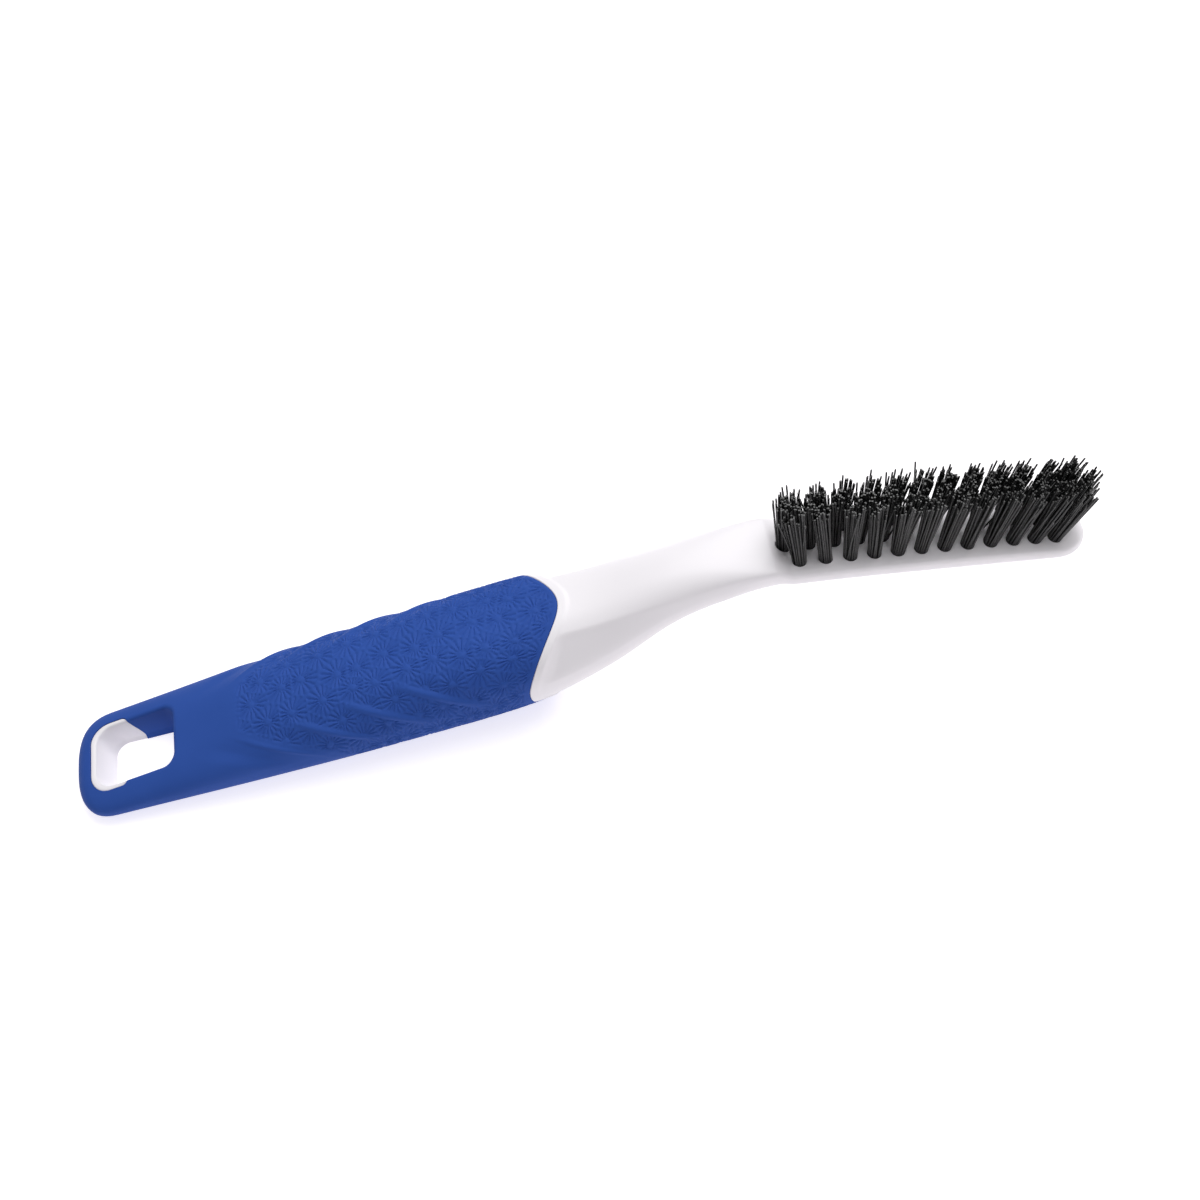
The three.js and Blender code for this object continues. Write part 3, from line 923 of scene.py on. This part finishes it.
def neckInset(distance):
    dip = smoothstep(distance, neck["band"] - neck["bandSoft"], neck["band"] + neck["bandSoft"])
    return neck["bandHeight"] * dip * (1 - smoothstep(distance, *neck["bandRun"]))


def flattenSides(points, distance):  # straightens the flared sides from the bar's edge to the widest level
    x, y, z = np.moveaxis(points, -1, 0)
    outside = np.abs(y) - neck["barHalf"]
    level = sectionSizes(x, 0.0)["widest"]
    flare = np.maximum(halfWidthAt(x) - neck["barHalf"], neck["leastFlare"])
    straight = blendTo(topAt(x, neck["barHalf"]), level, np.clip(outside / flare, 0, 1))
    share = neck["flatten"] * smoothstep(distance, *neck["flatRun"])
    share = share * smoothstep(outside, 0, neck["edgeSoft"])
    lower = np.where(z > level, share * np.maximum(z - straight, 0), 0)
    return np.stack([x, y, z - lower], axis=-1)


def headStations(start):
    form, rings = handleForm, coreMesh
    heel, step, toe = form["heel"], form["heelStep"], form["length"] - form["toeCorner"]
    return np.concatenate([
        np.arange(start + rings["neckStep"], heel - step - rings["heelGap"], rings["neckStep"]),
        np.linspace(heel - step, heel + step, rings["heelRings"]),
        np.arange(heel + step + rings["headStep"] / 2, toe, rings["headStep"]),
        crowdedTo(form["length"], toe, rings["toeRings"])[::-1],
    ])


def coreRings(angles):
    form, mesh, rim = handleForm, coreMesh, neck["rim"]
    rings = []
    ends = gripEndAt(handlePoints(np.full(len(angles), form["gripEnd"]), angles)) + form["seam"] / 2
    tangTail = crowdedTo(form["tailEnd"] + mesh["tangTail"], mesh["tangStart"], mesh["tangTailRings"])
    tang = np.arange(mesh["tangStart"] + 1, mesh["tangEnd"], mesh["tangStep"])
    for station in np.concatenate([tangTail, tang]):
        rings.append(handlePoints(np.full(len(angles), station), angles, shellAt(station)))
    rings.append(handlePoints(ends, angles, shellAt(ends)))
    for turn in np.radians((90, 65, 40, 20, 0)):
        rings.append(handlePoints(ends + rim * (1 - math.sin(turn)), angles, rim * (1 - math.cos(turn))))
    near, far = ends + rim, form["gripEnd"] + mesh["neckReach"]
    shares = np.linspace(mesh["neckFirst"], 1, mesh["neckRings"]) ** mesh["neckCrowding"]
    places = [blendTo(near, far, share) for share in shares]
    places += [np.full(len(angles), station) for station in headStations(far)]
    for place in places:
        rings.append(flattenSides(handlePoints(place, angles, neckInset(place - near)), place - near))
    return np.array(rings)


def makeCore():
    form, hole = handleForm, hangingHole
    core = closedTube("coreMoulding", coreRings(evenAngles(coreMesh["around"], coreMesh["section"])))
    combine(core, linerBody(form["seam"] / 2), "UNION")
    combine(core, uprightPrism("headCut", collarBlock(hole["collar"] + form["seam"], -form["seam"] / 2)))
    combine(core, wallCutter("linerCut", linerWall))
    combine(core, tuftHoles())
    shadeSmooth(core)
    dress(core, corePlastic(coreLook))
    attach(core, "root")
    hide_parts("handle_core")


# bristles: loose nylon filaments packed into each tuft hole

filaments = {
    "radius": 0.195,
    "rings": 4,  # one in the middle and rings of 6, 12 and 18 round it
    "packing": 0.4,
    "ringTwist": 0.4,
    "rootScatter": 0.025,
    "spread": (1.35, 1.85),
    "tipScatter": 0.24,
    "bow": 0.3,
    "bend": 1.15,
    "levels": (0, 0.1, 0.3, 0.52, 0.76, 1.0),  # shares of a filament's length
    "lengths": (0.81, 1.06),
    "strays": 0.07,  # share of filaments that stand well away from their tuft
    "strayReach": 1.3,
    "tuftLean": 1.3,
    "sideLean": 0.6,  # of that, how much goes sideways
    "sides": 7,
    "sharpAngle": 65,
    "root": -1.4,
    "seed": 11,
}


def packedDisc():
    packing = filaments["packing"]
    spots = [(0.0, 0.0)]
    for ring in range(1, filaments["rings"]):
        for i in range(6 * ring):
            angle = 2 * math.pi * i / (6 * ring) + filaments["ringTwist"] * ring
            spots.append((packing * ring * math.cos(angle), packing * ring * math.sin(angle)))
    return np.array(spots)


def filamentRings(spot, spread, reach, rng):  # centres up one filament, in its tuft's own frame
    form = filaments
    root = spot + rng.normal(0, form["rootScatter"], 2)
    stray = form["strayReach"] if rng.random() < form["strays"] else form["tipScatter"]
    tip = spot * spread + rng.normal(0, stray, 2)
    bow = rng.normal(0, form["bow"], 2)
    length = reach * rng.uniform(*form["lengths"])
    share = np.array(form["levels"])[:, None]
    side = blendTo(root, tip, share ** form["bend"]) + bow * share * (1 - share)
    return np.hstack([side, blendTo(form["root"], length, share)])


def makeBristleRow(name, row, rng):
    form, spots = filaments, packedDisc()
    count = form["sides"]
    angles = np.linspace(0, 2 * math.pi, count + 1)[:-1]
    circle = np.stack([np.cos(angles), np.sin(angles), np.zeros(count)], axis=1) * form["radius"]
    reach = tufts["length"] - tufts["rowTrim"] * row
    points, faces, ends = [], [], []
    for origin, turn in tuftPlaces(row):
        lean = np.radians(rng.normal(0, form["tuftLean"], 2))
        turn = turn @ turnY(lean[0]) @ turnX(form["sideLean"] * lean[1])
        spread = rng.uniform(*form["spread"])
        for spot in spots:
            centres = filamentRings(spot, spread, reach, rng)
            start = len(points)
            for centre in centres:
                points.extend(origin + (centre + circle) @ turn.T)
            for level in range(len(centres) - 1):
                a = start + count * level
                for j in range(count):
                    k = (j + 1) % count
                    faces.append([a + j, a + k, a + count + k, a + count + j])
            faces.append([start + j for j in reversed(range(count))])
            ends.append(len(faces))
            faces.append([start + count * (len(centres) - 1) + j for j in range(count)])
    piece = meshObject(name, np.array(points), faces)
    smooth = np.ones(len(faces), bool)
    smooth[ends] = False
    slots = np.zeros(len(faces), np.int32)
    slots[ends] = 1
    piece.data.polygons.foreach_set("use_smooth", smooth)
    piece.data.polygons.foreach_set("material_index", slots)
    piece.data.set_sharp_from_angle(angle=math.radians(form["sharpAngle"]))
    return piece


def makeBristles():
    rng = np.random.default_rng(filaments["seed"])
    # the second material paints the cut ends paler, partly as a painted highlight for the glints at the tips
    nylon, cutEndAndGlint = bristleNylon(nylonLook), cutEndWithPaintedGlint(nylonLook)
    for name, row in (("near", -1), ("middle", 0), ("far", 1)):
        piece = makeBristleRow("filaments_" + name, row, rng)
        piece.data.materials.append(nylon)
        piece.data.materials.append(cutEndAndGlint)
        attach(piece, "root")
        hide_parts("bristles_" + name)


makeGrip()
print("grip made")
makeCore()
print("core made")
makeBristles()
print("bristles made")

wire = anchorWire(wireLook)
for name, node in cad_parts.items():
    if name.startswith("tuft_anchor_"):
        dress(node, wire)
print("anchors dressed")


# floor and lights

studio = {
    "floor": (0.65, 0.65, 0.65, 1),
    "haze": (0.6435, 0.6435, 0.6435, 1),
    "hazeScale": 3.0,
    "floorRoughness": 0.8,
    "floorHalf": 3000,
    "floorDrop": 0.1,
    "glow": (1.0, 0.965, 1.0, 1),  # a faint lilac cast in the light from the floor
    "floorGlow": 0.7,
    "zenith": (0.54, 0.54, 0.54, 1),
    "horizon": (0.12, 0.12, 0.125, 1),
    "aim": (110, 0, 12),
    "keyPlace": (240, 280, 600),  # from the point that the light is aimed at
    "keySize": 650,
    "keyPower": 4.35,
}


def makeFloor(look):
    half = look["floorHalf"]
    corners = [(-half, -half, 0), (half, -half, 0), (half, half, 0), (-half, half, 0)]
    floor = meshObject("floor", np.array(corners), [[0, 1, 2, 3]])
    floor.location.z = -look["floorDrop"] * mm
    material, shader, place = newMaterial("paleFloor")
    haze = noise(place, look["hazeScale"], 1.0)
    feed(shader, "Base Color", colourRamp(haze, (0.0, look["floor"]), (1.0, look["haze"])))
    feed(shader, "Roughness", look["floorRoughness"])
    feed(shader, "Emission Color", look["glow"])
    feed(shader, "Emission Strength", look["floorGlow"])
    floor.data.materials.append(material)


def makeSky(look):
    world = bpy.data.worlds.new("studio")
    world.use_nodes = True
    tree = world.node_tree
    place = Shade(tree, tree.nodes.new("ShaderNodeTexCoord").outputs["Generated"])
    height = place.node("ShaderNodeSeparateXYZ", {}, 2, Vector=place)
    sky = colourRamp(height, (0.0, look["horizon"]), (0.7, look["zenith"]))
    plug(tree, tree.nodes["Background"].inputs["Color"], sky)
    bpy.context.scene.world = world


def makeKeyLight(look):
    target = Vector(inFrame(look["aim"]))
    data = bpy.data.lights.new("keyLight", "AREA")
    data.size = look["keySize"] * mm
    data.energy = look["keyPower"]
    light = bpy.data.objects.new("keyLight", data)
    light.location = target + Vector(look["keyPlace"]) * mm
    light.rotation_euler = (target - light.location).to_track_quat("-Z", "Y").to_euler()
    bpy.context.scene.collection.objects.link(light)


makeFloor(studio)
makeSky(studio)
makeKeyLight(studio)
bpy.context.scene.view_settings.view_transform = "Standard"
print("studio lit")
